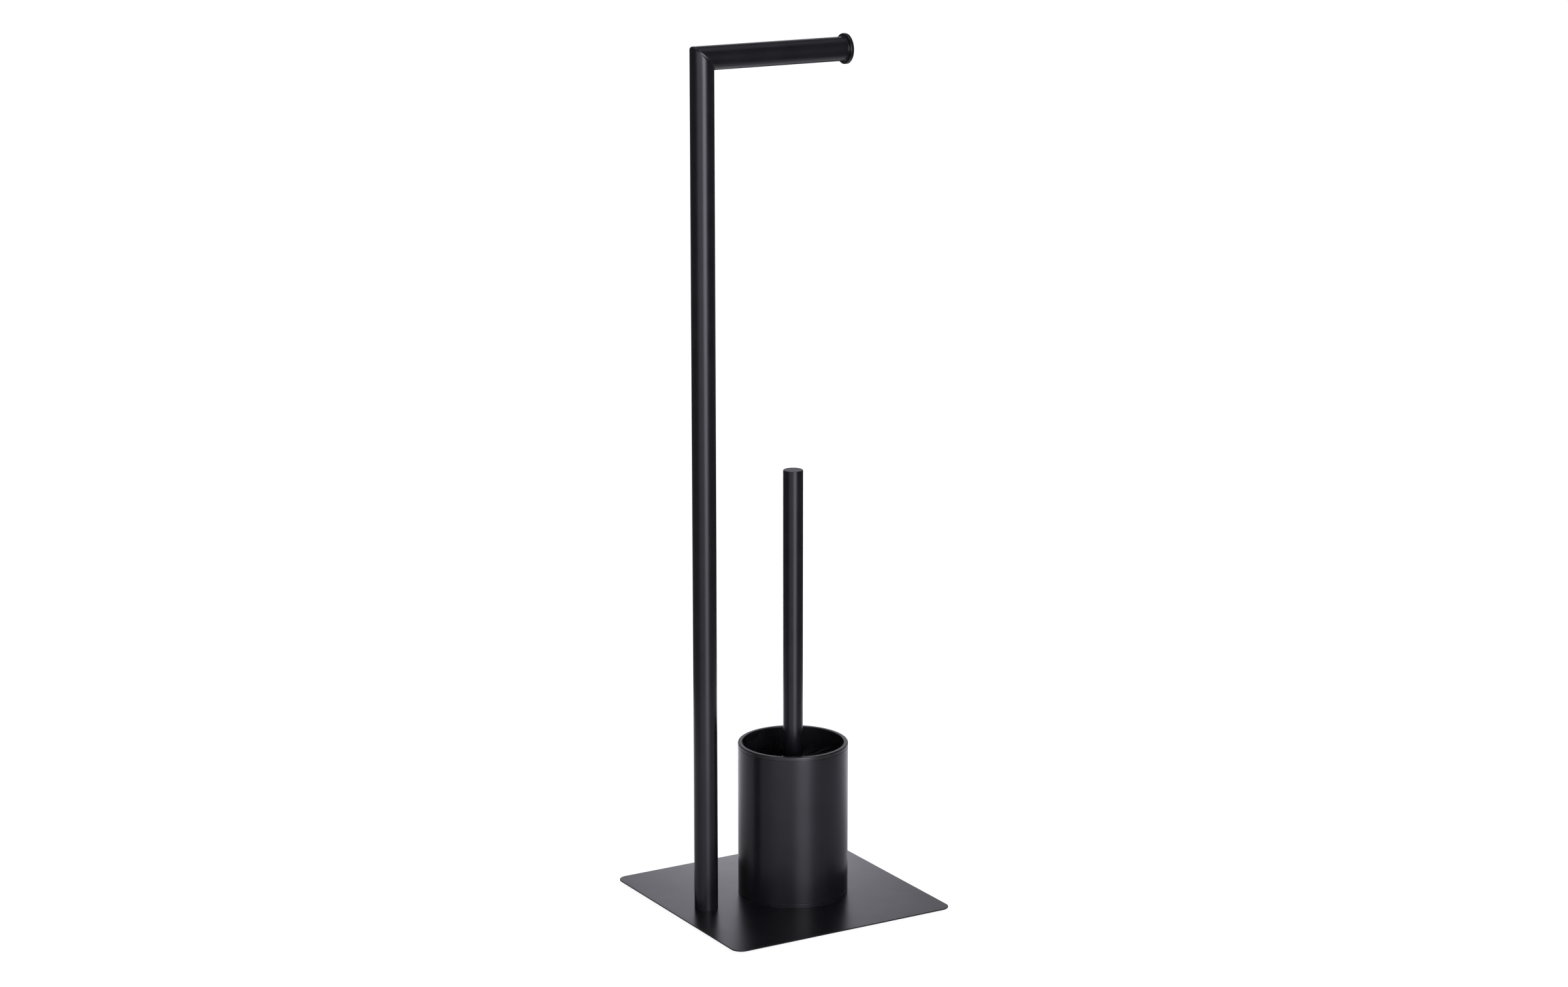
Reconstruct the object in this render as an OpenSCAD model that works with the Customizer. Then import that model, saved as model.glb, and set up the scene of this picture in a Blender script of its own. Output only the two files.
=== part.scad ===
// Free-standing toilet brush holder with a toilet-roll arm.
// +X runs from the pole towards the cup and the free end of the arm, +Z is up,
// and the origin is on the floor under the middle of the square plate.

/* [Base plate] */
// Side of the square base plate
plate_side = 200; // [180:5:220]
// Thickness of the base plate
plate_t = 3; // [3:0.5:4]
// Radius of the plate's corners
plate_corner_r = 9; // [4:1:16]
// Thickness of the anti-slip pads under the plate
pad_t = 1.2; // [0.8:0.1:2]
// Diameter of each anti-slip pad
pad_d = 16; // [10:1:24]

/* [Pole and arm] */
// Height from the floor to the top of the arm
overall_h = 696.5; // [600:0.5:760]
// Outside diameter of the pole and the arm
tube_d = 19; // [18:0.5:22]
// Wall thickness of the pole and the arm
tube_wall = 1; // [0.8:0.1:1.2]
// Distance from the plate's centre to the pole's axis
pole_offset = 71; // [62:1:80]
// Distance from the pole's axis to the outer face of the arm's end cap
arm_reach = 129; // [110:1:150]
// Diameter of the end cap's flange
flange_d = 24; // [23:0.5:30]
// Thickness of the end cap's flange
flange_t = 3; // [2.5:0.5:5]

/* [Cup] */
// Outside diameter of the cup
cup_d = 89; // [86:1:94]
// Height of the cup above the plate, with the liner's collar
cup_h = 127; // [115:1:140]
// Wall thickness of the cup's metal shell
shell_wall = 1; // [0.8:0.1:1.2]
// Distance from the plate's centre to the cup's axis
cup_offset = 10; // [5:1:16]
// Height of the hem band at the foot of the cup
hem_h = 3.6; // [3:0.2:5]
// Height of the liner's collar above the shell
collar_h = 3.2; // [2.6:0.2:4]
// Radial width of the liner's collar
collar_w = 3.6; // [3.4:0.1:4]
// Wall thickness of the plastic liner
liner_wall = 1.8; // [1.5:0.1:2]

/* [Brush] */
// Outside diameter of the handle
handle_d = 16; // [15:0.5:18]
// Height of the brush's top above the plate
brush_top_h = 352; // [330:1:370]
// Diameter across the bristles
brush_d = 78; // [70:1:78]
// Depth of the bristles' top below the cup's rim
brush_sink = 15.4; // [12:0.2:20]
// Number of rows of side bristles
bristle_rows = 12; // [8:1:14]

/* [Hidden] */
$fn = 96;

// Colours
coat_colour = "#2e2e32";
plastic_colour = "#1b1b1d";
steel_colour = "#a9abae";
rubber_colour = "#26272a";

// Clearance between round faces that belong together
fit_gap = 0.05;

// Heights
plate_top = pad_t + plate_t;
arm_z = overall_h - tube_d / 2;
rim_z = plate_top + cup_h;
shell_top = rim_z - collar_h;
brush_top = plate_top + brush_top_h;

// Places
pole_x = -pole_offset;
cup_x = cup_offset;
arm_end_x = pole_x + arm_reach - flange_t;
pad_inset = 18;
pad_place = plate_side / 2 - pad_inset;

// Radii of the tubes
tube_r = tube_d / 2;
tube_bore_r = tube_r - tube_wall;
cup_r = cup_d / 2;
shell_bore_r = cup_r - shell_wall;
handle_r = handle_d / 2;
handle_wall = 1;
handle_bore_r = handle_r - handle_wall;

// Rim of the plate: a thin soft-edged lip over a bevelled underside
plate_rim_t = 1;
plate_bevel_w = 6;
plate_edge = 0.3;

// Softened edges
flange_edge = 0.9;
cap_edge = 0.6;
hem_edge = 0.6;
collar_edge = 0.8;

// M6 countersunk screws with a hexagon socket
screw_d = 6;
screw_head_d = 11.6;
screw_head_h = (screw_head_d - screw_d) / 2;
screw_hole_d = 6.4;
countersink_d = screw_head_d + 2 * fit_gap;
countersink_h = (countersink_d - screw_hole_d) / 2;
socket_af = 4;
socket_deep = 1.6;
pole_screw_len = 16;
cup_screw_len = 10;

// Threaded plug at the foot of the pole
pole_insert_h = 24;
pole_insert_bore_h = 18;

// Foot of the cup: a shallow pan with a spigot that the shell slips over
foot_floor_t = 1.5;
foot_spigot_h = 8;
foot_spigot_wall = 1.4;
nut_af = 10;
nut_h = 5;

// Stem of the arm's end cap
stem_len = 14;
stem_wall = 2;

// Liner
liner_gap = 0.6;
liner_draft = 1;
liner_floor_t = 2;
liner_clear_z = 2;
liner_floor_z = plate_top + foot_floor_t + nut_h + liner_clear_z;
liner_floor_top = liner_floor_z + liner_floor_t;
liner_top_r = shell_bore_r - liner_gap;
liner_foot_r = liner_top_r - liner_draft;
liner_fillet = 3;

// Handle
handle_cap_h = 2;
handle_plug_len = 12;
handle_insert_h = 22;

// Brush head
head_top = rim_z - brush_sink;
rest_gap = 0.3;
head_bottom = liner_floor_top + rest_gap;
core_r = 12;
core_foot_z = head_bottom + 9;
core_shoulder_r = 9.5;
core_shoulder_h = 6;
core_top = head_top + 2;
core_round = 5;
handle_foot_z = core_top;
stud_d = 8;
stud_in_handle = 16;
stud_in_core = 18;
bristle_t = 1.2;
bristle_round = 26;
row_low_z = core_foot_z + core_round;
row_pitch = (head_top - bristle_t - row_low_z) / (bristle_rows - 1);
end_ring_radii = [3.5, 7];

// Half outline of a disc with rounded rims, for turning about Z
module soft_disc_outline(r, h, edge) {
    square([r - edge, h]);
    translate([0, edge]) square([r, h - 2 * edge]);
    translate([r - edge, edge]) circle(edge);
    translate([r - edge, h - edge]) circle(edge);
}

// Half outline of the plate, from its middle to a rim at x = r
module plate_half_outline(r) {
    lip_z = plate_t - plate_rim_t;
    polygon([
        [0, 0],
        [r - plate_bevel_w, 0],
        [r - plate_edge, lip_z],
        [r - plate_edge, plate_t],
        [0, plate_t]
    ]);
    translate([0, lip_z + plate_edge]) square([r, plate_rim_t - 2 * plate_edge]);
    translate([r - plate_edge, lip_z + plate_edge]) circle(plate_edge);
    translate([r - plate_edge, plate_t - plate_edge]) circle(plate_edge);
}

// Plain round tube standing on Z = 0
module tube(r, bore_r, h) {
    difference() {
        cylinder(r = r, h = h);
        translate([0, 0, -1]) cylinder(r = bore_r, h = h + 2);
    }
}

// The 45 degree plane between pole and arm, as a block on its upper or lower side
module mitre_block(upper) {
    block = 4 * tube_d;
    translate([pole_x, 0, arm_z])
        rotate([0, 45, 0])
            translate([-block / 2, -block / 2, upper ? 0 : -block])
                cube(block);
}

// Countersunk hole through the plate at a place on the X axis
module countersunk_hole(x) {
    translate([x, 0, pad_t]) {
        translate([0, 0, -1]) cylinder(d = screw_hole_d, h = plate_t + 2);
        cylinder(d1 = countersink_d, d2 = screw_hole_d, h = countersink_h);
    }
}

// Countersunk screw, head down, with its underside flush with the plate
module countersunk_screw(len) {
    difference() {
        union() {
            cylinder(d1 = screw_head_d, d2 = screw_d, h = screw_head_h);
            cylinder(d = screw_d, h = len);
        }
        translate([0, 0, -1])
            cylinder(d = socket_af / cos(30), h = socket_deep + 1, $fn = 6);
    }
}

module base_plate() {
    half = plate_side / 2;
    flat = plate_side - 2 * plate_corner_r;
    corner = flat / 2;
    color(coat_colour)
        difference() {
            union() {
                for (turn = [0, 90, 180, 270])
                    rotate([0, 0, turn])
                        translate([0, 0, pad_t])
                            rotate([90, 0, 0])
                                linear_extrude(flat, center = true)
                                    plate_half_outline(half);
                for (sx = [-1, 1], sy = [-1, 1])
                    translate([sx * corner, sy * corner, pad_t])
                        rotate_extrude()
                            plate_half_outline(plate_corner_r);
            }
            countersunk_hole(pole_x);
            countersunk_hole(cup_x);
        }
}

module floor_pads() {
    color(rubber_colour)
        for (sx = [-1, 1], sy = [-1, 1])
            translate([sx * pad_place, sy * pad_place, 0])
                cylinder(d = pad_d, h = pad_t);
}

module pole_tube() {
    color(coat_colour)
        difference() {
            translate([pole_x, 0, plate_top])
                tube(tube_r, tube_bore_r, overall_h - plate_top + 1);
            mitre_block(upper = true);
        }
}

module pole_insert() {
    color(steel_colour)
        translate([pole_x, 0, plate_top])
            difference() {
                cylinder(r = tube_bore_r - fit_gap, h = pole_insert_h);
                translate([0, 0, -1])
                    cylinder(r = screw_d / 2 + fit_gap, h = pole_insert_bore_h + 1);
            }
}

module pole_screw() {
    color(steel_colour)
        translate([pole_x, 0, pad_t])
            countersunk_screw(pole_screw_len);
}

module arm_tube() {
    start_x = pole_x - tube_d;
    color(coat_colour)
        difference() {
            translate([start_x, 0, arm_z])
                rotate([0, 90, 0])
                    tube(tube_r, tube_bore_r, arm_end_x - start_x);
            mitre_block(upper = false);
        }
}

module arm_end_cap() {
    color(coat_colour)
        translate([arm_end_x, 0, arm_z])
            rotate([0, 90, 0])
                difference() {
                    union() {
                        rotate_extrude()
                            soft_disc_outline(flange_d / 2, flange_t, flange_edge);
                        translate([0, 0, -stem_len])
                            cylinder(r = tube_bore_r - fit_gap, h = stem_len + flange_t / 2);
                    }
                    translate([0, 0, -stem_len - 1])
                        cylinder(r = tube_bore_r - fit_gap - stem_wall, h = stem_len + 1);
                }
}

module cup_shell() {
    foot_z = plate_top + hem_h;
    color(coat_colour)
        translate([cup_x, 0, foot_z])
            tube(cup_r, shell_bore_r, shell_top - foot_z);
}

module cup_foot() {
    spigot_r = shell_bore_r - fit_gap;
    color(coat_colour)
        translate([cup_x, 0, plate_top])
            difference() {
                union() {
                    rotate_extrude() soft_disc_outline(cup_r, hem_h, hem_edge);
                    cylinder(r = spigot_r, h = foot_spigot_h);
                }
                translate([0, 0, foot_floor_t])
                    cylinder(r = spigot_r - foot_spigot_wall, h = foot_spigot_h);
                translate([0, 0, -1])
                    cylinder(d = screw_hole_d, h = foot_floor_t + 2);
            }
}

module cup_nut() {
    color(steel_colour)
        translate([cup_x, 0, plate_top + foot_floor_t])
            difference() {
                cylinder(d = nut_af / cos(30), h = nut_h, $fn = 6);
                translate([0, 0, -1])
                    cylinder(r = screw_d / 2 + fit_gap, h = nut_h + 2);
            }
}

module cup_screw() {
    color(steel_colour)
        translate([cup_x, 0, pad_t])
            countersunk_screw(cup_screw_len);
}

// Half outline of the liner's hollow, open at the top
module liner_hollow_outline() {
    top_r = cup_r - collar_w;
    foot_r = liner_foot_r - liner_wall;
    low = liner_floor_top;
    polygon([
        [0, low], [foot_r - liner_fillet, low], [foot_r, low + liner_fillet],
        [top_r, rim_z - collar_edge], [top_r + collar_edge, rim_z], [top_r + collar_edge, rim_z + 1],
        [0, rim_z + 1]
    ]);
}

module cup_liner() {
    color(plastic_colour)
        translate([cup_x, 0, 0])
            rotate_extrude()
                difference() {
                    union() {
                        polygon([
                            [0, liner_floor_z], [liner_foot_r - liner_fillet, liner_floor_z],
                            [liner_foot_r, liner_floor_z + liner_fillet],
                            [liner_top_r, shell_top + 1], [0, shell_top + 1]
                        ]);
                        translate([0, shell_top])
                            soft_disc_outline(cup_r, collar_h, collar_edge);
                    }
                    liner_hollow_outline();
                }
}

module handle_tube() {
    color(coat_colour)
        translate([cup_x, 0, handle_foot_z])
            tube(handle_r, handle_bore_r, brush_top - handle_cap_h - handle_foot_z);
}

module handle_cap() {
    color(coat_colour)
        translate([cup_x, 0, brush_top - handle_cap_h]) {
            rotate_extrude() soft_disc_outline(handle_r, handle_cap_h, cap_edge);
            translate([0, 0, -handle_plug_len])
                cylinder(r = handle_bore_r - fit_gap, h = handle_plug_len + handle_cap_h / 2);
        }
}

module handle_insert() {
    color(steel_colour)
        translate([cup_x, 0, handle_foot_z])
            difference() {
                cylinder(r = handle_bore_r - fit_gap, h = handle_insert_h);
                translate([0, 0, -1])
                    cylinder(r = stud_d / 2 + fit_gap, h = stud_in_handle + 2);
            }
}

module brush_stud() {
    color(steel_colour)
        translate([cup_x, 0, core_top - stud_in_core])
            cylinder(d = stud_d, h = stud_in_core + stud_in_handle);
}

module brush_core() {
    body_h = core_top - core_shoulder_h - core_foot_z;
    color(plastic_colour)
        translate([cup_x, 0, core_foot_z])
            difference() {
                union() {
                    rotate_extrude() {
                        translate([0, core_round]) square([core_r, body_h - core_round]);
                        square([core_r - core_round, core_round]);
                        translate([core_r - core_round, core_round]) circle(core_round);
                    }
                    translate([0, 0, body_h])
                        cylinder(r1 = core_r, r2 = core_shoulder_r, h = core_shoulder_h);
                }
                translate([0, 0, core_top - core_foot_z - stud_in_core - 1])
                    cylinder(r = stud_d / 2 + fit_gap, h = stud_in_core + 2);
            }
}

// Outer radius of the bristles at a height: full size, drawn in round the lower end
function bristle_r(z) =
    let (up = (z - head_bottom) / bristle_round)
    up >= 1 ? brush_d / 2 : brush_d / 2 * sqrt(1 - pow(1 - up, 2));

module side_bristles() {
    color(plastic_colour)
        for (i = [0 : bristle_rows - 1]) {
            z = row_low_z + i * row_pitch;
            translate([cup_x, 0, z])
                tube(bristle_r(z), core_r + fit_gap, bristle_t);
        }
}

module end_bristles() {
    color(plastic_colour)
        translate([cup_x, 0, head_bottom])
            for (r = end_ring_radii)
                tube(r, r - bristle_t, core_foot_z - head_bottom);
}

base_plate();
floor_pads();
pole_tube();
pole_insert();
pole_screw();
arm_tube();
arm_end_cap();
cup_shell();
cup_foot();
cup_nut();
cup_screw();
cup_liner();
handle_tube();
handle_cap();
handle_insert();
brush_stud();
brush_core();
side_bristles();
end_bristles();
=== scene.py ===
"""Looks of the toilet brush holder: fine meshes, materials, studio and camera."""

import math
import random

import bpy
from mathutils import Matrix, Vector


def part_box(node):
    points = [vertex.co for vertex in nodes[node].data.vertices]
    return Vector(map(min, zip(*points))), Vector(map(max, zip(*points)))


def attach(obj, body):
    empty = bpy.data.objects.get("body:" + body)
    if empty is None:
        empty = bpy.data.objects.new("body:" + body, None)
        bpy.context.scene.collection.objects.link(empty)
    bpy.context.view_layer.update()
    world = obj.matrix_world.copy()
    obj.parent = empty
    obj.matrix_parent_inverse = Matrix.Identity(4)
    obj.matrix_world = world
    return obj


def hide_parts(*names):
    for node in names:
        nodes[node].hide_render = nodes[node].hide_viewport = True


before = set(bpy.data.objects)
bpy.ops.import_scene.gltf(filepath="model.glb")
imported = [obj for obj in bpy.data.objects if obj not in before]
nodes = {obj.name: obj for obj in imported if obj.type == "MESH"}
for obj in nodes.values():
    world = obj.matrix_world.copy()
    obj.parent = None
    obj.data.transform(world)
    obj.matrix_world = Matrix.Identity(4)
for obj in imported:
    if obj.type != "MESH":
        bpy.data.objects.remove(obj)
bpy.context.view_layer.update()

MM = 0.001
TAU = 2 * math.pi
X_AXIS, Z_AXIS = Vector((1, 0, 0)), Vector((0, 0, 1))

# Camera: where it stands round the object, and what it looks at
VIEW_AZIMUTH = math.radians(-30.62)
VIEW_ELEVATION = math.radians(13.6)
VIEW_DISTANCE = 2.883
VIEW_AIM = Vector((0.0012, -0.0007, 0.338))
VIEW_LENS = 83.5

# Fine meshes
ROUND_STEPS = 160
EDGE_STEPS = 6
MITRE_STEPS = 20
MITRE_ROUND = 1.6 * MM
MITRE_GROOVE = 0.2 * MM
SHELL_EDGE = 0.25 * MM
FLANGE_EDGE = 0.6 * MM
FLANGE_FILLET = 0.8 * MM
STEM_EDGE = 0.4 * MM
SPIGOT_EDGE = 0.3 * MM
PAN_CORNER = 0.5 * MM
COLLAR_LOW_EDGE = 0.25 * MM
COLLAR_EDGE = 0.9 * MM
MOUTH_EDGE = 0.7 * MM
CAP_SEAM = 0.08 * MM
CAP_EDGE = 0.7 * MM
PLUG_EDGE = 0.3 * MM
HANDLE_FOOT_EDGE = 0.4 * MM
HANDLE_BORE_EDGE = 0.2 * MM

# Bristles: thin filaments in tufts, set in rows round the core and in rings on its end
FILAMENT_SIDES = 3
FILAMENT_R = 0.24 * MM
FILAMENT_DROOP = 0.5 * MM
FILAMENTS_A_TUFT = 14
ROOT_DEPTH = 1 * MM
TUFT_HOLE_R = 1.7 * MM
TUFT_SPREAD = 5.2 * MM
TUFTS_A_ROW = 30
TIP_REACH = (0.955, 0.995)
END_OUTLINE_H = 26 * MM
END_RINGS = [(0, 1), (3.4, 6), (6.6, 12), (9.6, 18)]
END_HOLE_R = 1.3 * MM
END_SPREAD = 4.6 * MM
END_INSET = 5 * MM
END_UNEVEN = 0.8

# Studio: bearings, widths and elevations in degrees, as add_glow takes them
LIGHT_TINT = (0.965, 0.955, 1.065)
WORLD_DIM = 0.12
KEY_PANEL = (22.3, (3, 20), (-24, -3), (12, 55), 6.8)
FRONT_FILL = (0, (20, 60), (-22, -2), (10, 34), 2.35)
BACKDROP = (180, (14, 44), (10, 20), (20, 37), 1.1)
OVERHEAD = (50, 88, 1.2)
FLOOR_GLOW = 0.93
FLOOR_R = 30
TABLE_R = 0.6
TABLE_LIFT = 0.0001
TABLE_FRONT = 0.40
# The table's glow: painted light towards its back, and painted shade close round the object
TABLE_PAINTED_LIGHT_BACK = (0, 0.40, 0.50)
TABLE_PAINTED_SHADE_NEAR = (0.10, 0.35, 1, 0.55)
CARD_GLOW = 2.9
CARD_BACK = 0.45
CARD_SIDE = -0.02
CARD_HALF_W = 0.22
CARD_H = 0.34
CARD_FADE_UP = (0.17, 0.08)

# Sizes that the frame's boxes don't give, as in the CAD source
TUBE_WALL = 1 * MM
HEM_H = 3.6 * MM
FOOT_FLOOR_T = 1.5 * MM
FOOT_SPIGOT_WALL = 1.4 * MM
FIT_GAP = 0.05 * MM
SCREW_HOLE_R = 3.2 * MM
LINER_GAP = 0.6 * MM
LINER_DRAFT = 1 * MM
LINER_FLOOR_T = 2 * MM
LINER_WALL = 1.8 * MM
LINER_FILLET = 3 * MM
COLLAR_W = 3.6 * MM
CAP_T = 2 * MM
STEM_LEN = 14 * MM
STEM_WALL = 2 * MM

# Places and sizes, all from the frame
pole_lo, pole_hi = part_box("pole_tube")
arm_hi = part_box("arm_tube")[1]
shell_lo, shell_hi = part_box("cup_shell")
foot_lo, foot_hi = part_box("cup_foot")
liner_lo, liner_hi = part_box("cup_liner")
handle_lo, handle_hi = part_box("handle_tube")
cap_lo, cap_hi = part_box("handle_cap")
flange_lo, flange_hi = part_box("arm_end_cap")
core_lo, core_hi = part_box("brush_core")
end_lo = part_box("end_bristles")[0]
pole_x = (pole_lo.x + pole_hi.x) / 2
pole_r = (pole_hi.x - pole_lo.x) / 2
arm_z = arm_hi.z - pole_r
cup_x = (shell_lo.x + shell_hi.x) / 2
cup_r = (shell_hi.x - shell_lo.x) / 2
handle_r = (handle_hi.x - handle_lo.x) / 2
flange_r = (flange_hi.z - flange_lo.z) / 2


# ---------------------------------------------------------------- meshes

def new_piece(name, points, faces, material, smooth_angle=35):
    """A mesh object whose edges turn sharp above smooth_angle degrees."""
    mesh = bpy.data.meshes.new(name)
    mesh.from_pydata([tuple(p) for p in points], [], faces)
    mesh.materials.append(material)
    mesh.update()
    mesh.polygons.foreach_set("use_smooth", [True] * len(mesh.polygons))
    mesh.set_sharp_from_angle(angle=math.radians(smooth_angle))
    piece = bpy.data.objects.new(name, mesh)
    bpy.context.scene.collection.objects.link(piece)
    return piece


def skin_faces(ring_count, steps, closed):
    """Quads between each ring of points and the next, and back to the first if closed."""
    faces = []
    for i in range(ring_count if closed else ring_count - 1):
        a, b = i * steps, (i + 1) % ring_count * steps
        for k in range(steps):
            n = (k + 1) % steps
            faces.append((a + k, a + n, b + n, b + k))
    return faces


def skin(name, rings, material):
    """A closed solid through rings of points: a tube wall or any other body of rotation."""
    points = [p for ring in rings for p in ring]
    return new_piece(name, points, skin_faces(len(rings), len(rings[0]), True), material)


def soft_outline(corners, steps=EDGE_STEPS):
    """The closed outline through corners (r, z, radius), each turned as an arc of that radius.

    A point on each side of an arc keeps the flats beside it flat in the shading."""
    outline = []
    for i, (r, z, radius) in enumerate(corners):
        here = Vector((r, z))
        to_last = (Vector(corners[i - 1][:2]) - here).normalized()
        to_next = (Vector(corners[(i + 1) % len(corners)][:2]) - here).normalized()
        if radius == 0:
            outline.append(here)
            continue
        half = to_last.angle(to_next) / 2
        reach = radius / math.tan(half)
        centre = here + (to_last + to_next).normalized() * radius / math.sin(half)
        start, end = here + to_last * reach - centre, here + to_next * reach - centre
        outline.append(centre + start + to_last * reach / 2)
        outline += [centre + start.slerp(end, k / steps) * radius for k in range(steps + 1)]
        outline.append(centre + end + to_next * reach / 2)
    return outline


def cup_point(r, z, angle):
    """A point round the axis that the cup and the brush share."""
    return Vector((cup_x + r * math.cos(angle), r * math.sin(angle), z))


def pole_point(r, z, angle):
    """A point round the pole's axis."""
    return Vector((pole_x + r * math.cos(angle), r * math.sin(angle), z))


def arm_point(r, x, angle):
    """A point round the arm's axis."""
    return Vector((x, r * math.sin(angle), arm_z - r * math.cos(angle)))


def ring(point, r, along):
    """Points round an axis, at a radius and a place along it."""
    return [point(r, along, TAU * k / ROUND_STEPS) for k in range(ROUND_STEPS)]


def lathe(name, corners, material, point=cup_point):
    """A body of rotation from the closed outline through corners (r, along the axis, radius).

    Where the outline starts and ends on the axis, a point closes the body there."""
    steps = ROUND_STEPS
    outline = soft_outline(corners)
    solid = outline[0].x == 0
    if solid:
        low, *outline, high = outline
    points = [p for r, along in outline for p in ring(point, r, along)]
    faces = skin_faces(len(outline), steps, not solid)
    if solid:
        first, last = len(points), len(points) - steps
        points += [point(0, low.y, 0), point(0, high.y, 0)]
        faces += [(first, (k + 1) % steps, k) for k in range(steps)]
        faces += [(first + 1, last + k, last + (k + 1) % steps) for k in range(steps)]
    return new_piece(name, points, faces, material)


def place(piece, body, node, slot):
    """Puts the piece on the body it rides on, and hides the CAD node that it stands in for; slot is not
    used.
    """
    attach(piece, body)
    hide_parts(node)


# ---------------------------------------------------------------- materials

def new_material(name):
    """A new material, with its node tree and its Principled shader."""
    material = bpy.data.materials.new(name)
    material.use_nodes = True
    tree = material.node_tree
    shader = tree.nodes["Principled BSDF"]
    return material, tree, shader


def noise(tree, scale, detail=2.0, stretch=(1, 1, 1)):
    """Noise over the object's own metres, so that it looks the same on every piece."""
    place = tree.nodes.new("ShaderNodeTexCoord")
    sizing = tree.nodes.new("ShaderNodeMapping")
    sizing.inputs["Scale"].default_value = stretch
    grain = tree.nodes.new("ShaderNodeTexNoise")
    grain.inputs["Scale"].default_value = scale
    grain.inputs["Detail"].default_value = detail
    tree.links.new(place.outputs["Object"], sizing.inputs["Vector"])
    tree.links.new(sizing.outputs["Vector"], grain.inputs["Vector"])
    return grain.outputs["Fac"]


def spread(tree, value, low, high):
    """Maps a noise value from its usual 0.3 to 0.7 onto low to high."""
    node = tree.nodes.new("ShaderNodeMapRange")
    node.inputs["From Min"].default_value = 0.3
    node.inputs["From Max"].default_value = 0.7
    node.inputs["To Min"].default_value = low
    node.inputs["To Max"].default_value = high
    tree.links.new(value, node.inputs["Value"])
    return node.outputs["Result"]


def blend_colour(tree, value, low, high):
    """A colour between low and high, as a noise value says."""
    node = tree.nodes.new("ShaderNodeMix")
    node.data_type = "RGBA"
    node.inputs["A"].default_value = (*low, 1)
    node.inputs["B"].default_value = (*high, 1)
    tree.links.new(spread(tree, value, 0, 1), node.inputs["Factor"])
    return node.outputs["Result"]


def bump(tree, shader, value, depth):
    """Gives the surface relief of that depth in metres."""
    node = tree.nodes.new("ShaderNodeBump")
    node.inputs["Distance"].default_value = depth
    tree.links.new(value, node.inputs["Height"])
    tree.links.new(node.outputs["Normal"], shader.inputs["Normal"])


def coat_material(name, roughness):
    """Satin black powder coat: fine orange peel over a smooth, slightly blue charcoal."""
    material, tree, shader = new_material(name)
    peel = noise(tree, 900, 2)
    clouds = noise(tree, 60, 3)
    tone = blend_colour(tree, clouds, (0.0050, 0.0048, 0.0064), (0.0066, 0.0064, 0.0084))
    tree.links.new(tone, shader.inputs["Base Color"])
    tree.links.new(spread(tree, clouds, roughness - 0.015, roughness + 0.015), shader.inputs["Roughness"])
    shader.inputs["IOR"].default_value = 1.38
    bump(tree, shader, peel, 0.000015)
    return material


def liner_material():
    """Black moulded plastic of the liner: satin, with a faint grain."""
    material, tree, shader = new_material("liner_moulding")
    grain = noise(tree, 1400, 3)
    clouds = noise(tree, 45, 2)
    tone = blend_colour(tree, clouds, (0.0060, 0.0060, 0.0066), (0.0085, 0.0085, 0.0092))
    tree.links.new(tone, shader.inputs["Base Color"])
    tree.links.new(spread(tree, clouds, 0.25, 0.30), shader.inputs["Roughness"])
    shader.inputs["IOR"].default_value = 1.43
    bump(tree, shader, grain, 0.00001)
    return material


def core_material():
    """Black moulded plastic of the brush's core."""
    material, tree, shader = new_material("core_moulding")
    grain = noise(tree, 700, 3)
    tone = blend_colour(tree, grain, (0.008, 0.008, 0.0085), (0.012, 0.012, 0.0128))
    tree.links.new(tone, shader.inputs["Base Color"])
    tree.links.new(spread(tree, grain, 0.42, 0.52), shader.inputs["Roughness"])
    bump(tree, shader, grain, 0.00002)
    return material


def fibre_material():
    """Black nylon filament, a little different from one to the next."""
    material, tree, shader = new_material("nylon_filament")
    shades = noise(tree, 260, 2)
    tone = blend_colour(tree, shades, (0.0018, 0.0018, 0.0020), (0.0045, 0.0045, 0.0050))
    tree.links.new(tone, shader.inputs["Base Color"])
    tree.links.new(spread(tree, shades, 0.58, 0.68), shader.inputs["Roughness"])
    shader.inputs["Specular IOR Level"].default_value = 0.16
    return material


def steel_material():
    """Plain turned steel: fine marks along the axis of the piece."""
    material, tree, shader = new_material("turned_steel")
    marks = noise(tree, 220, 4, (1, 1, 12))
    tone = blend_colour(tree, marks, (0.40, 0.40, 0.41), (0.52, 0.52, 0.53))
    tree.links.new(tone, shader.inputs["Base Color"])
    tree.links.new(spread(tree, marks, 0.28, 0.42), shader.inputs["Roughness"])
    shader.inputs["Metallic"].default_value = 1
    bump(tree, shader, marks, 0.00002)
    return material


def rubber_material():
    """Dark foam rubber of the floor pads."""
    material, tree, shader = new_material("pad_rubber")
    cells = noise(tree, 1100, 4)
    tone = blend_colour(tree, cells, (0.012, 0.012, 0.013), (0.026, 0.026, 0.028))
    tree.links.new(tone, shader.inputs["Base Color"])
    tree.links.new(spread(tree, cells, 0.80, 0.95), shader.inputs["Roughness"])
    bump(tree, shader, cells, 0.00008)
    return material


# ---------------------------------------------------------------- tubes

def mitre_point(radius, angle):
    """Where a line along the pole and a line along the arm meet, on the 45 degree plane."""
    across = radius * math.cos(angle)
    return Vector((pole_x + across, radius * math.sin(angle), arm_z - across))


def mitre_ring(part):
    """A ring over the weld at the mitre: 0 where the pole's straight wall ends, 1 where the arm's
    starts, with the weld's shallow groove between them."""
    points = []
    for k in range(ROUND_STEPS):
        angle = TAU * k / ROUND_STEPS
        corner = mitre_point(pole_r, angle)
        start = corner - Z_AXIS * MITRE_ROUND
        end = corner + X_AXIS * MITRE_ROUND
        soft = (1 - part) ** 2 * start + 2 * part * (1 - part) * corner + part ** 2 * end
        outward = Vector((math.cos(angle), 2 * math.sin(angle), -math.cos(angle))).normalized()
        points.append(soft - outward * MITRE_GROOVE * math.sin(math.pi * part) ** 2)
    return points


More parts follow.
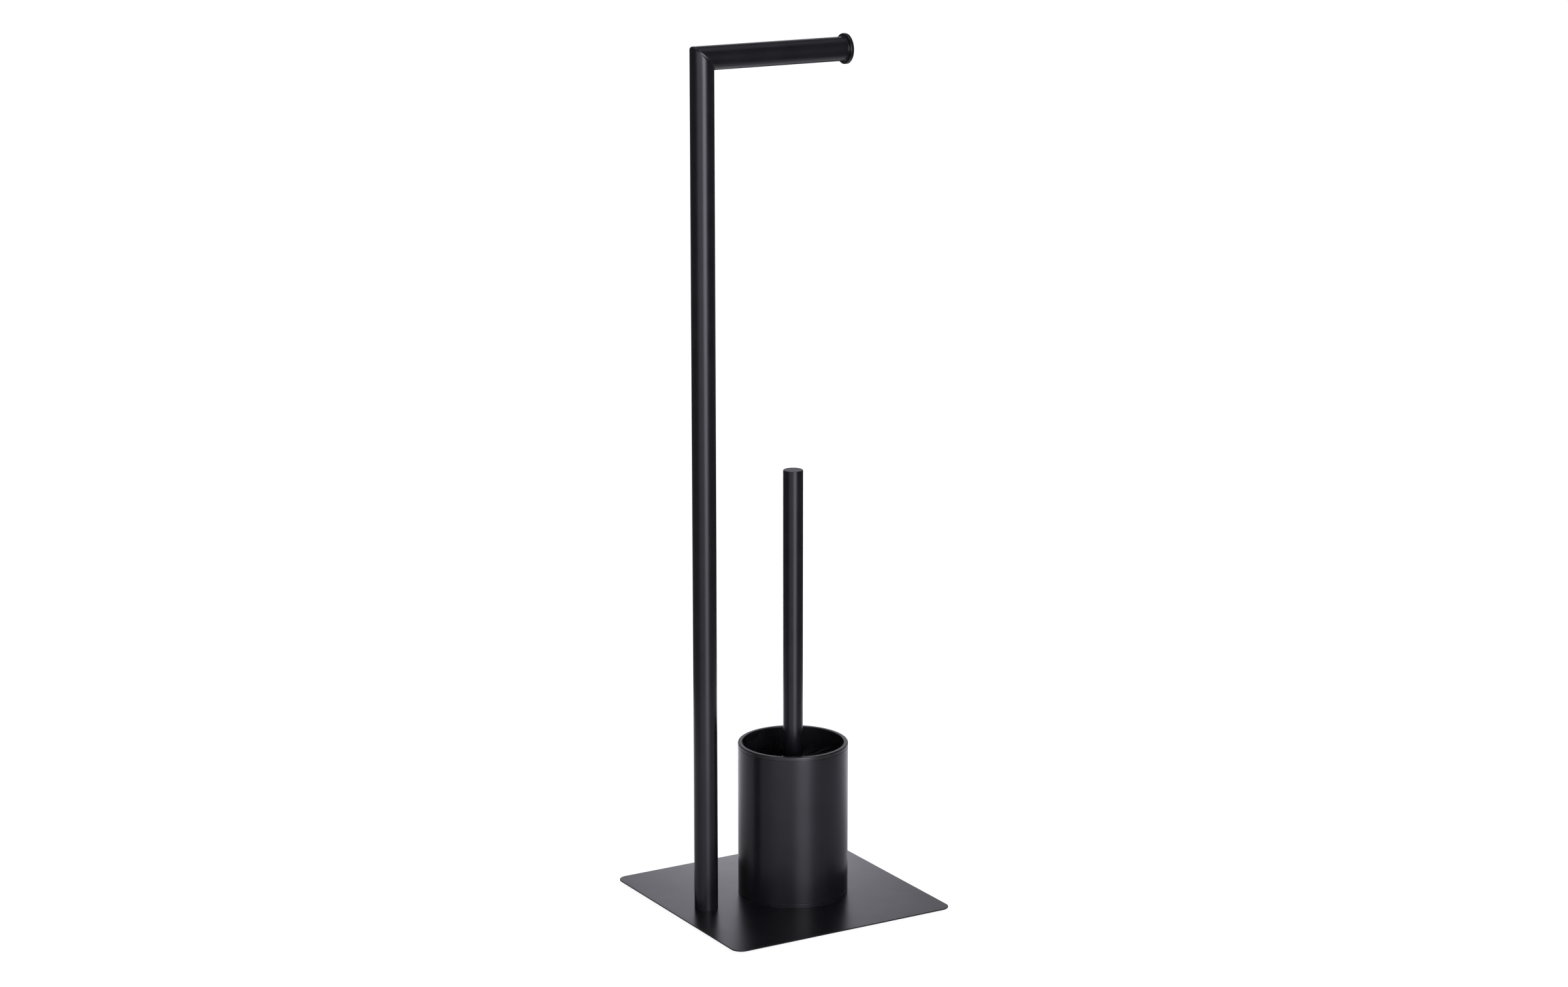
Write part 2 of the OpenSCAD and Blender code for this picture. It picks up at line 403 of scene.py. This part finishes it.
def build_pole_and_arm(material):
    """The pole and the arm, each a hollow tube, with the welded mitre between them."""
    inner_r = pole_r - TUBE_WALL
    inner_mitre = [mitre_point(inner_r, TAU * k / ROUND_STEPS) for k in range(ROUND_STEPS)]
    parts = [k / MITRE_STEPS for k in range(MITRE_STEPS + 1)]
    clear = pole_r + 4 * MITRE_ROUND
    pole_rings = [ring(pole_point, inner_r, pole_lo.z), ring(pole_point, pole_r, pole_lo.z)]
    pole_rings += [ring(pole_point, pole_r, arm_z - clear)]
    pole_rings += [mitre_ring(p) for p in parts if p <= 0.5]
    pole_rings += [inner_mitre]
    arm_rings = [inner_mitre]
    arm_rings += [mitre_ring(p) for p in parts if p >= 0.5]
    arm_rings += [ring(arm_point, pole_r, pole_x + clear)]
    arm_rings += [ring(arm_point, pole_r, arm_hi.x), ring(arm_point, inner_r, arm_hi.x)]
    pole = skin("pole", pole_rings, material)
    arm = skin("arm", arm_rings, material)
    place(pole, "stand", "pole_tube", "coated_steel")
    place(arm, "stand", "arm_tube", "coated_steel")


def build_flange(material):
    """The flange at the arm's end, its weld to the arm, and its hollow stem in the tube."""
    stem_r = pole_r - TUBE_WALL - FIT_GAP
    weld_r = pole_r - FIT_GAP
    face, low = arm_hi.x, arm_hi.x - STEM_LEN
    flange = lathe("flange", [
        (0, face, 0), (stem_r - STEM_WALL, face, 0),
        (stem_r - STEM_WALL, low, 0), (stem_r, low, STEM_EDGE),
        (stem_r, face - 2 * FLANGE_FILLET, 0), (weld_r, face - 2 * FLANGE_FILLET, 0),
        (weld_r, face, FLANGE_FILLET), (flange_r, face, FLANGE_EDGE),
        (flange_r, flange_hi.x, FLANGE_EDGE), (0, flange_hi.x, 0)
    ], material, arm_point)
    place(flange, "stand", "arm_end_cap", "coated_steel")


# ---------------------------------------------------------------- cup and handle

def build_shell(material):
    """The cup's shell, a tube with its cut edges broken."""
    inner_r = cup_r - TUBE_WALL
    edge = SHELL_EDGE
    shell = lathe("shell", [
        (cup_r, shell_lo.z, edge), (cup_r, shell_hi.z, edge),
        (inner_r, shell_hi.z, edge / 2), (inner_r, shell_lo.z, edge / 2)
    ], material)
    place(shell, "stand", "cup_shell", "coated_steel")


def build_foot(material):
    """The pan that closes the cup's foot: a hem band, and a spigot inside the shell."""
    spigot_r = cup_r - TUBE_WALL - FIT_GAP
    pan_r = spigot_r - FOOT_SPIGOT_WALL
    low, high = foot_lo.z, foot_hi.z
    foot = lathe("foot", [
        (SCREW_HOLE_R, low, 0), (cup_r, low, SHELL_EDGE),
        (cup_r, low + HEM_H, SHELL_EDGE), (spigot_r, low + HEM_H, 0),
        (spigot_r, high, SPIGOT_EDGE), (pan_r, high, SPIGOT_EDGE),
        (pan_r, low + FOOT_FLOOR_T, PAN_CORNER), (SCREW_HOLE_R, low + FOOT_FLOOR_T, 0)
    ], material)
    place(foot, "stand", "cup_foot", "coated_steel")


def build_liner(material):
    """The moulded liner: a drafted pot with a collar that closes the shell's top."""
    top_r = cup_r - TUBE_WALL - LINER_GAP
    foot_r = top_r - LINER_DRAFT
    mouth_r = cup_r - COLLAR_W
    pot_r = foot_r - LINER_WALL
    low, high = liner_lo.z, liner_hi.z
    liner = lathe("liner", [
        (0, low, 0), (foot_r, low, LINER_FILLET),
        (top_r, shell_hi.z, 0), (cup_r, shell_hi.z, COLLAR_LOW_EDGE),
        (cup_r, high, COLLAR_EDGE), (mouth_r, high, MOUTH_EDGE),
        (pot_r, low + LINER_FLOOR_T, LINER_FILLET),
        (0, low + LINER_FLOOR_T, 0)
    ], material)
    place(liner, "liner", "cup_liner", "liner_plastic")


def build_handle(material):
    """The brush's tubular handle and the plug that closes its top."""
    bore_r = handle_r - TUBE_WALL
    plug_r = bore_r - FIT_GAP
    barrel = lathe("handle_barrel", [
        (handle_r, handle_lo.z, HANDLE_FOOT_EDGE), (handle_r, handle_hi.z, CAP_SEAM),
        (bore_r, handle_hi.z, CAP_SEAM), (bore_r, handle_lo.z, HANDLE_BORE_EDGE)
    ], material)
    place(barrel, "brush", "handle_tube", "coated_steel")
    top = lathe("handle_top", [
        (0, cap_lo.z, 0), (plug_r, cap_lo.z, PLUG_EDGE),
        (plug_r, cap_hi.z - CAP_T, 0), (handle_r, cap_hi.z - CAP_T, CAP_SEAM),
        (handle_r, cap_hi.z, CAP_EDGE), (0, cap_hi.z, 0)
    ], material)
    place(top, "brush", "handle_cap", "coated_steel")


# ---------------------------------------------------------------- bristles

def disc_point(rng, radius):
    """A point of a disc, evenly spread over its area."""
    r, a = radius * math.sqrt(rng.random()), TAU * rng.random()
    return r * math.cos(a), r * math.sin(a)


def filament(points, faces, path, thickness):
    """Adds a thin tapered rod along path, with a closed tip."""
    along = (path[-1] - path[0]).normalized()
    side = along.cross(Z_AXIS if abs(along.z) < 0.9 else X_AXIS).normalized()
    other = along.cross(side)
    first = len(points)
    for i, p in enumerate(path):
        r = thickness * (1 - 0.25 * i / (len(path) - 1))
        for k in range(FILAMENT_SIDES):
            a = TAU * k / FILAMENT_SIDES
            points.append(p + (side * math.cos(a) + other * math.sin(a)) * r)
    for i in range(len(path) - 1):
        a, b = first + i * FILAMENT_SIDES, first + (i + 1) * FILAMENT_SIDES
        for k in range(FILAMENT_SIDES):
            n = (k + 1) % FILAMENT_SIDES
            faces.append((a + k, a + n, b + n, b + k))
    tip = first + (len(path) - 1) * FILAMENT_SIDES
    faces.append(tuple(tip + k for k in range(FILAMENT_SIDES)))
    faces.append(tuple(first + k for k in reversed(range(FILAMENT_SIDES))))


def bristle_rows():
    """Height and outer radius of each row of side bristles, read from the CAD rings."""
    rows = {}
    for v in nodes["side_bristles"].data.vertices:
        z = round(v.co.z / MM, 1)
        rows[z] = max(rows.get(z, 0), math.hypot(v.co.x - cup_x, v.co.y))
    heights = sorted(rows)
    return [((a + b) / 2 * MM, rows[a]) for a, b in zip(heights[::2], heights[1::2])]


def build_side_bristles(material):
    """Staggered rings of tufts round the core, splaying out to the brush's own outline."""
    rng = random.Random(11)
    core_r = (core_hi.x - core_lo.x) / 2
    rows = bristle_rows()
    points, faces = [], []
    for row, upper in enumerate(rows):
        lower = rows[max(row - 1, 0)]
        between = ((upper[0] + lower[0]) / 2, (upper[1] + lower[1]) / 2)
        for tuft in range(TUFTS_A_ROW):
            z, outer_r = between if tuft % 2 else upper
            aim = TAU * (tuft + 0.5 * (row % 2)) / TUFTS_A_ROW
            for _ in range(FILAMENTS_A_TUFT):
                root_u, root_v = disc_point(rng, TUFT_HOLE_R)
                tip_u, tip_v = disc_point(rng, TUFT_SPREAD)
                tip_r = outer_r * rng.uniform(*TIP_REACH)
                path = []
                for s in (0, 0.5, 1):
                    r = core_r - ROOT_DEPTH + (tip_r - core_r + ROOT_DEPTH) * s
                    u = root_u * (1 - s) + tip_u * s
                    v = root_v * (1 - s) + tip_v * s - FILAMENT_DROOP * s * s
                    a = aim + u / max(r, core_r)
                    path.append(Vector((cup_x + r * math.cos(a), r * math.sin(a), z + v)))
                filament(points, faces, path, FILAMENT_R)
    tufts = new_piece("side_tufts", points, faces, material, 80)
    place(tufts, "brush", "side_bristles", "bristle_fibre")


def build_end_bristles(material):
    """Tufts on the core's rounded end, fanning down and out to close the brush's lower end."""
    rng = random.Random(12)
    rows = bristle_rows()
    low_r = rows[0][1]
    full_r = rows[-1][1]
    points, faces = [], []
    widest = END_RINGS[-1][0] * MM
    for ring_r, count in END_RINGS:
        for tuft in range(count):
            aim = TAU * (tuft + 0.3 * ring_r) / count
            fan = ring_r * MM / widest
            for _ in range(FILAMENTS_A_TUFT + 2):
                root_u, root_v = disc_point(rng, END_HOLE_R)
                tip_u, tip_v = disc_point(rng, END_SPREAD)
                root_r = ring_r * MM * 0.86
                root = Vector((
                    cup_x + root_r * math.cos(aim) + root_u,
                    root_r * math.sin(aim) + root_v,
                    core_lo.z + ROOT_DEPTH + 3 * MM * fan ** 3
                ))
                tip_r = fan * (low_r - END_INSET)
                tip = Vector((
                    cup_x + tip_r * math.cos(aim) + tip_u,
                    tip_r * math.sin(aim) + tip_v, 0
                ))
                out = min(1, math.hypot(tip.x - cup_x, tip.y) / full_r)
                rise = END_OUTLINE_H * (1 - math.sqrt(1 - out * out))
                tip.z = end_lo.z + rise + rng.uniform(0, END_UNEVEN) * MM
                middle = (root + tip) / 2 - Z_AXIS * 0.8 * MM * fan
                filament(points, faces, [root, middle, tip], FILAMENT_R)
    tufts = new_piece("end_tufts", points, faces, material, 80)
    place(tufts, "brush", "end_bristles", "bristle_fibre")


# ---------------------------------------------------------------- studio

def direction(azimuth, elevation):
    """Unit vector from the object towards a place seen at that bearing: 0 is the camera's side."""
    a = VIEW_AZIMUTH + math.radians(azimuth)
    e = math.radians(elevation)
    return Vector((math.sin(a) * math.cos(e), -math.cos(a) * math.cos(e), math.sin(e)))


def fade(tree, value, start, end, height=1.0, base=0.0):
    """A soft step from base at start to height at end; start may be above end."""
    node = tree.nodes.new("ShaderNodeMapRange")
    node.interpolation_type = "SMOOTHSTEP"
    node.inputs["From Min"].default_value = start
    node.inputs["From Max"].default_value = end
    node.inputs["To Min"].default_value = base
    node.inputs["To Max"].default_value = height
    tree.links.new(value, node.inputs["Value"])
    return node.outputs["Result"]


def combine(tree, operation, a, b):
    """One value from two, by that operation."""
    node = tree.nodes.new("ShaderNodeMath")
    node.operation = operation
    tree.links.new(a, node.inputs[0])
    tree.links.new(b, node.inputs[1])
    return node.outputs["Value"]


def fade_up(tree, start, end, height=1.0):
    """A soft step over the world, between those elevations in degrees."""
    place = tree.nodes.new("ShaderNodeTexCoord").outputs["Generated"]
    split = tree.nodes.new("ShaderNodeSeparateXYZ")
    tree.links.new(place, split.inputs["Vector"])
    start, end = math.sin(math.radians(start)), math.sin(math.radians(end))
    return fade(tree, split.outputs["Z"], start, end, height)


def add_glow(tree, total, azimuth, widths, rise, fall, strength):
    """Adds to the world a soft panel of light: full within the first of two widths to each side,
    fading in over the elevations of rise and out over those of fall, all in degrees."""
    place = tree.nodes.new("ShaderNodeTexCoord").outputs["Generated"]
    flat = tree.nodes.new("ShaderNodeVectorMath")
    flat.operation = "MULTIPLY"
    flat.inputs[1].default_value = (1, 1, 0)
    tree.links.new(place, flat.inputs[0])
    bearing = tree.nodes.new("ShaderNodeVectorMath")
    bearing.operation = "NORMALIZE"
    tree.links.new(flat.outputs["Vector"], bearing.inputs[0])
    along = tree.nodes.new("ShaderNodeVectorMath")
    along.operation = "DOT_PRODUCT"
    along.inputs[1].default_value = direction(azimuth, 0)
    tree.links.new(bearing.outputs["Vector"], along.inputs[0])
    inner, outer = (math.cos(math.radians(w)) for w in widths)
    panel = fade(tree, along.outputs["Value"], outer, inner, strength)
    for start, end in (rise, reversed(fall)):
        panel = combine(tree, "MULTIPLY", panel, fade_up(tree, start, end))
    return combine(tree, "ADD", total, panel)


def build_world():
    """A dim studio: a tall key panel, a wide front fill, a lit backdrop and light from overhead."""
    world = bpy.data.worlds.new("studio")
    bpy.context.scene.world = world
    world.cycles.sampling_method = "NONE"
    world.use_nodes = True
    tree = world.node_tree
    light = tree.nodes["Background"]
    light.inputs["Color"].default_value = (*LIGHT_TINT, 1)
    dim = tree.nodes.new("ShaderNodeValue")
    dim.outputs[0].default_value = WORLD_DIM
    total = dim.outputs[0]
    for panel in (KEY_PANEL, FRONT_FILL, BACKDROP):
        total = add_glow(tree, total, *panel)
    total = combine(tree, "ADD", total, fade_up(tree, *OVERHEAD))
    tree.links.new(total, light.inputs["Strength"])
    seen = tree.nodes.new("ShaderNodeBackground")
    seen.inputs["Color"].default_value = (1, 1, 1, 1)
    rays = tree.nodes.new("ShaderNodeLightPath")
    choose = tree.nodes.new("ShaderNodeMixShader")
    tree.links.new(rays.outputs["Is Camera Ray"], choose.inputs["Fac"])
    tree.links.new(light.outputs["Background"], choose.inputs[1])
    tree.links.new(seen.outputs["Background"], choose.inputs[2])
    tree.links.new(choose.outputs["Shader"], tree.nodes["World Output"].inputs["Surface"])


def place_along(tree, axis):
    """How far, in metres, a point of the object lies along that horizontal axis."""
    place = tree.nodes.new("ShaderNodeTexCoord").outputs["Object"]
    along = tree.nodes.new("ShaderNodeVectorMath")
    along.operation = "DOT_PRODUCT"
    along.inputs[1].default_value = axis
    tree.links.new(place, along.inputs[0])
    return along.outputs["Value"]


def floor_material(name, gloss):
    """Pale floor that also glows, as a backlit sweep does."""
    material, tree, shader = new_material(name)
    speck = noise(tree, 3, 2)
    tone = blend_colour(tree, speck, (0.25, 0.25, 0.248), (0.26, 0.26, 0.258))
    tree.links.new(tone, shader.inputs["Base Color"])
    shader.inputs["Roughness"].default_value = 0.25
    shader.inputs["Specular IOR Level"].default_value = gloss
    shader.inputs["Emission Strength"].default_value = FLOOR_GLOW
    shader.inputs["Emission Color"].default_value = (1, 1, 1, 1)
    material.cycles.emission_sampling = "NONE"
    return material


def table_material():
    """The floor as the object mirrors it: a glow with painted shade close round the object and painted
    light towards the back.
    """
    material = floor_material("table_sheen", 0.5)
    tree = material.node_tree
    shader = tree.nodes["Principled BSDF"]
    # Painted light: the table glows brighter towards the back
    depth = fade(tree, place_along(tree, direction(180, 0)), *TABLE_PAINTED_LIGHT_BACK)
    front = tree.nodes.new("ShaderNodeValue")
    front.outputs[0].default_value = TABLE_FRONT
    total = combine(tree, "ADD", front.outputs[0], depth)
    # Painted shade: the glow is dimmed close round the object
    place = tree.nodes.new("ShaderNodeTexCoord").outputs["Object"]
    reach = tree.nodes.new("ShaderNodeVectorMath")
    reach.operation = "LENGTH"
    tree.links.new(place, reach.inputs[0])
    painted_shade_near = fade(tree, reach.outputs["Value"], *TABLE_PAINTED_SHADE_NEAR)
    tree.links.new(combine(tree, "MULTIPLY", total, painted_shade_near), shader.inputs["Emission Strength"])
    shader.inputs["Emission Color"].default_value = (*LIGHT_TINT, 1)
    return material


def card_material():
    """A low hump of light that adds itself to what is behind it."""
    material = bpy.data.materials.new("card_glow")
    material.use_nodes = True
    material.cycles.emission_sampling = "NONE"
    tree = material.node_tree
    tree.nodes.clear()
    place = tree.nodes.new("ShaderNodeTexCoord").outputs["Object"]
    split = tree.nodes.new("ShaderNodeSeparateXYZ")
    tree.links.new(place, split.inputs["Vector"])
    side = tree.nodes.new("ShaderNodeMath")
    side.operation = "ABSOLUTE"
    tree.links.new(split.outputs["X"], side.inputs[0])
    across = fade(tree, side.outputs["Value"], CARD_HALF_W, 0, CARD_GLOW)
    up = fade(tree, split.outputs["Z"], *CARD_FADE_UP)
    glow = tree.nodes.new("ShaderNodeEmission")
    glow.inputs["Color"].default_value = (*LIGHT_TINT, 1)
    tree.links.new(combine(tree, "MULTIPLY", across, up), glow.inputs["Strength"])
    clear = tree.nodes.new("ShaderNodeBsdfTransparent")
    both = tree.nodes.new("ShaderNodeAddShader")
    out = tree.nodes.new("ShaderNodeOutputMaterial")
    tree.links.new(clear.outputs["BSDF"], both.inputs[0])
    tree.links.new(glow.outputs["Emission"], both.inputs[1])
    tree.links.new(both.outputs["Shader"], out.inputs["Surface"])
    return material


def build_card():
    """A card close behind the object, seen only in its reflections."""
    w, h = CARD_HALF_W, CARD_H
    corners = [(-w, 0, 0), (w, 0, 0), (w, 0, h), (-w, 0, h)]
    card = new_piece("card", corners, [(0, 1, 2, 3)], card_material())
    card.location = direction(180, 0) * CARD_BACK + direction(90, 0) * CARD_SIDE
    card.rotation_euler = (0, 0, VIEW_AZIMUTH)
    card.visible_camera = False
    card.visible_diffuse = False
    card.visible_shadow = False


def build_disc(name, radius, z, material):
    """A round flat stretch of floor."""
    steps = 96
    angles = [TAU * k / steps for k in range(steps)]
    rim = [Vector((radius * math.cos(a), radius * math.sin(a), z)) for a in angles]
    return new_piece(name, rim, [tuple(range(steps))], material)


def build_floor():
    """The white floor that is seen, and a dimmer table close round the object for its reflections,
    glowing with painted shade and painted light.
    """
    floor = build_disc("floor", FLOOR_R, 0, floor_material("pale_floor", 0))
    floor.visible_glossy = False
    floor.visible_shadow = False
    table = build_disc("table", TABLE_R, TABLE_LIFT, table_material())
    table.visible_camera = False
    table.visible_diffuse = False
    table.visible_shadow = False


def build_camera():
    """The camera, on its own side of the object and looking a little down."""
    data = bpy.data.cameras.new("camera")
    data.lens = VIEW_LENS
    data.sensor_width = 36
    camera = bpy.data.objects.new("camera", data)
    back = direction(0, math.degrees(VIEW_ELEVATION))
    camera.location = VIEW_AIM + back * VIEW_DISTANCE
    camera.rotation_mode = "QUATERNION"
    camera.rotation_quaternion = (-back).to_track_quat("-Z", "Y")
    bpy.context.scene.collection.objects.link(camera)
    bpy.context.scene.camera = camera


# ---------------------------------------------------------------- scene

def coat_frame_nodes(slots):
    """Gives each CAD node that stays in view the material of its slot."""
    for piece in nodes.values():
        for i, old in enumerate(piece.data.materials):
            piece.material_slots[i].material = slots[old.name]


slots = {
    "coated_steel": coat_material("tube_coat", 0.25),
    "plain_steel": steel_material(),
    "rubber_pads": rubber_material(),
    "liner_plastic": liner_material(),
    "brush_plastic": core_material(),
    "bristle_fibre": fibre_material(),
}
coat_frame_nodes(slots)
nodes["base_plate"].material_slots[0].material = coat_material("plate_coat", 0.31)
build_camera()
build_pole_and_arm(slots["coated_steel"])
build_flange(slots["coated_steel"])
build_shell(slots["coated_steel"])
build_foot(slots["coated_steel"])
build_liner(slots["liner_plastic"])
build_handle(slots["coated_steel"])
build_side_bristles(slots["bristle_fibre"])
build_end_bristles(slots["bristle_fibre"])
build_world()
build_floor()
build_card()
bpy.context.scene.view_settings.view_transform = "Standard"
